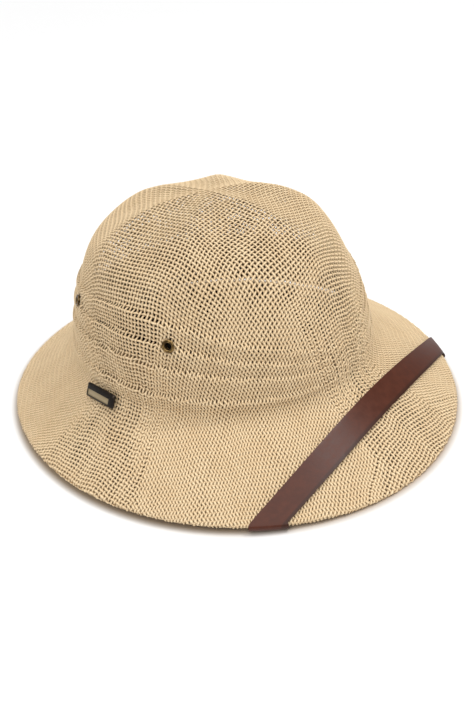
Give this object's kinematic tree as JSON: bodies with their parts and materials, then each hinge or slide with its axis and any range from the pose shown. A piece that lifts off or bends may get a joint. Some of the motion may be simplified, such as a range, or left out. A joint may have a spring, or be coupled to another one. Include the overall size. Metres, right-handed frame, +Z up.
{
  "type": "pith helmet",
  "caption": "Woven straw sun helmet with a ridged crown, pressed pleats, a wide sloping brim, a leather strap over the front of the brim, eyelets and a plain bar pin.",
  "frame": {"origin": "on the surface the hat rests on, under the middle of its outline", "axes": "+Z up through the crown, -Y towards the front of the hat, +X towards the wearer's left"},
  "size_m": [0.2632, 0.3068, 0.1327],
  "materials": {
    "straw": "dry woven paper straw with open holes",
    "sweatband_cloth": "plain ribbed ribbon",
    "strap_leather": "smooth satin brown leather",
    "eyelet_brass": "dark antique brass",
    "pin_metal": "blackened metal with a pale plain face"
  },
  "bodies": {
    "root": {"straw_body": "straw", "sweatband": "sweatband_cloth", "chin_strap": "strap_leather", "eyelet_right_side": "eyelet_brass", "eyelet_right_rear": "eyelet_brass", "eyelet_left_side": "eyelet_brass", "eyelet_left_rear": "eyelet_brass", "side_pin": "pin_metal"}
  },
  "joints": []
}
